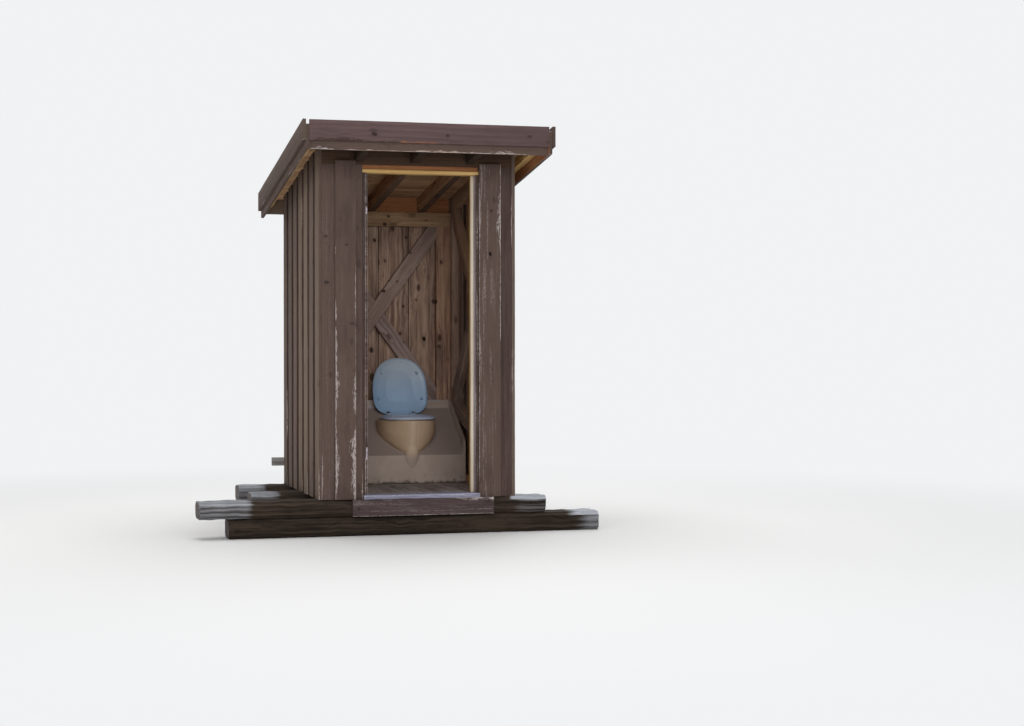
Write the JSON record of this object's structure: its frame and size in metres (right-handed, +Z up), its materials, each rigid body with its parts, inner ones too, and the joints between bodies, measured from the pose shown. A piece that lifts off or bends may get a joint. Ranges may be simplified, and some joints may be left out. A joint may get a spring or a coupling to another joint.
{
  "type": "outhouse",
  "caption": "Wooden outhouse with board-on-board walls, lean-to board roof, open doorway and a moulded toilet with hinged seat and lid, on old timber sills.",
  "frame": {"origin": "on the ground plane under the centre of the hut's wall outline, on the middle bearer's underside", "axes": "+X to the right seen from the doorway, +Y from the front to the rear wall, +Z up"},
  "size_m": [2.514, 1.93, 2.4969],
  "materials": {
    "painted_wood": "weathered dark brown paint",
    "side_wood": "sun-faded brown paint",
    "raw_wood": "raw aged timber",
    "pale_wood": "raw pale timber",
    "jamb_wood": "raw and white-flaked timber",
    "base_wood": "grey weathered old timber",
    "floor_wood": "worn boards",
    "threshold_wood": "weathered blue-grey timber",
    "felt": "matt bitumen felt",
    "iron": "rusty with paint remnants",
    "unit_plastic": "dull tan moulding",
    "seat_plastic": "satin pale blue",
    "lid_plastic": "satin blue",
    "pin_metal": "dull steel"
  },
  "bodies": {
    "hut": {"front_bearer": "base_wood", "middle_bearer": "base_wood", "rear_bearer": "base_wood", "front_sill": "base_wood", "middle_sill": "base_wood", "rear_sill": "base_wood", "floor_boards": "floor_wood", "threshold": "threshold_wood", "kick_board": "painted_wood", "front_under_boards": "painted_wood", "front_over_boards": "painted_wood", "front_frieze": "painted_wood", "left_under_boards": "side_wood", "left_over_boards": "side_wood", "right_under_boards": "side_wood", "right_over_boards": "side_wood", "rear_under_boards": "side_wood", "rear_over_boards": "side_wood", "rear_frieze": "side_wood", "door_posts": "raw_wood", "rear_posts": "raw_wood", "left_posts": "raw_wood", "right_posts": "raw_wood", "front_top_rail": "raw_wood", "rear_top_rail": "raw_wood", "left_top_rail": "raw_wood", "right_top_rail": "raw_wood", "rear_bottom_rail": "raw_wood", "left_bottom_rail": "raw_wood", "right_bottom_rail": "raw_wood", "rear_braces": "raw_wood", "left_braces": "raw_wood", "right_braces": "raw_wood", "left_jamb": "painted_wood", "right_jamb": "jamb_wood", "head_jamb": "pale_wood", "hinge_leaves": "iron", "rafters": "raw_wood", "verge_battens": "pale_wood", "roof_boards": "raw_wood", "roof_felt": "felt", "front_fascia_upper": "painted_wood", "front_fascia_lower": "painted_wood", "rear_fascia": "side_wood", "left_barge_upper": "side_wood", "left_barge_lower": "side_wood", "right_barge_upper": "side_wood", "right_barge_lower": "side_wood", "rear_rail": "raw_wood", "toilet_unit": "unit_plastic", "hinge_pins": "pin_metal"},
    "seat": {"toilet_seat": "seat_plastic"},
    "lid": {"toilet_lid": "lid_plastic"}
  },
  "joints": [
    {"name": "seat_hinge", "type": "hinge", "parent": "hut", "child": "seat", "pos_m": [0.159, 0.518, 0.697], "axis": [-1, 0, 0], "range_deg": [0, 95]},
    {"name": "lid_hinge", "type": "hinge", "parent": "hut", "child": "lid", "pos_m": [0.159, 0.518, 0.697], "axis": [-1, 0, 0], "range_deg": [-104, 0]}
  ]
}
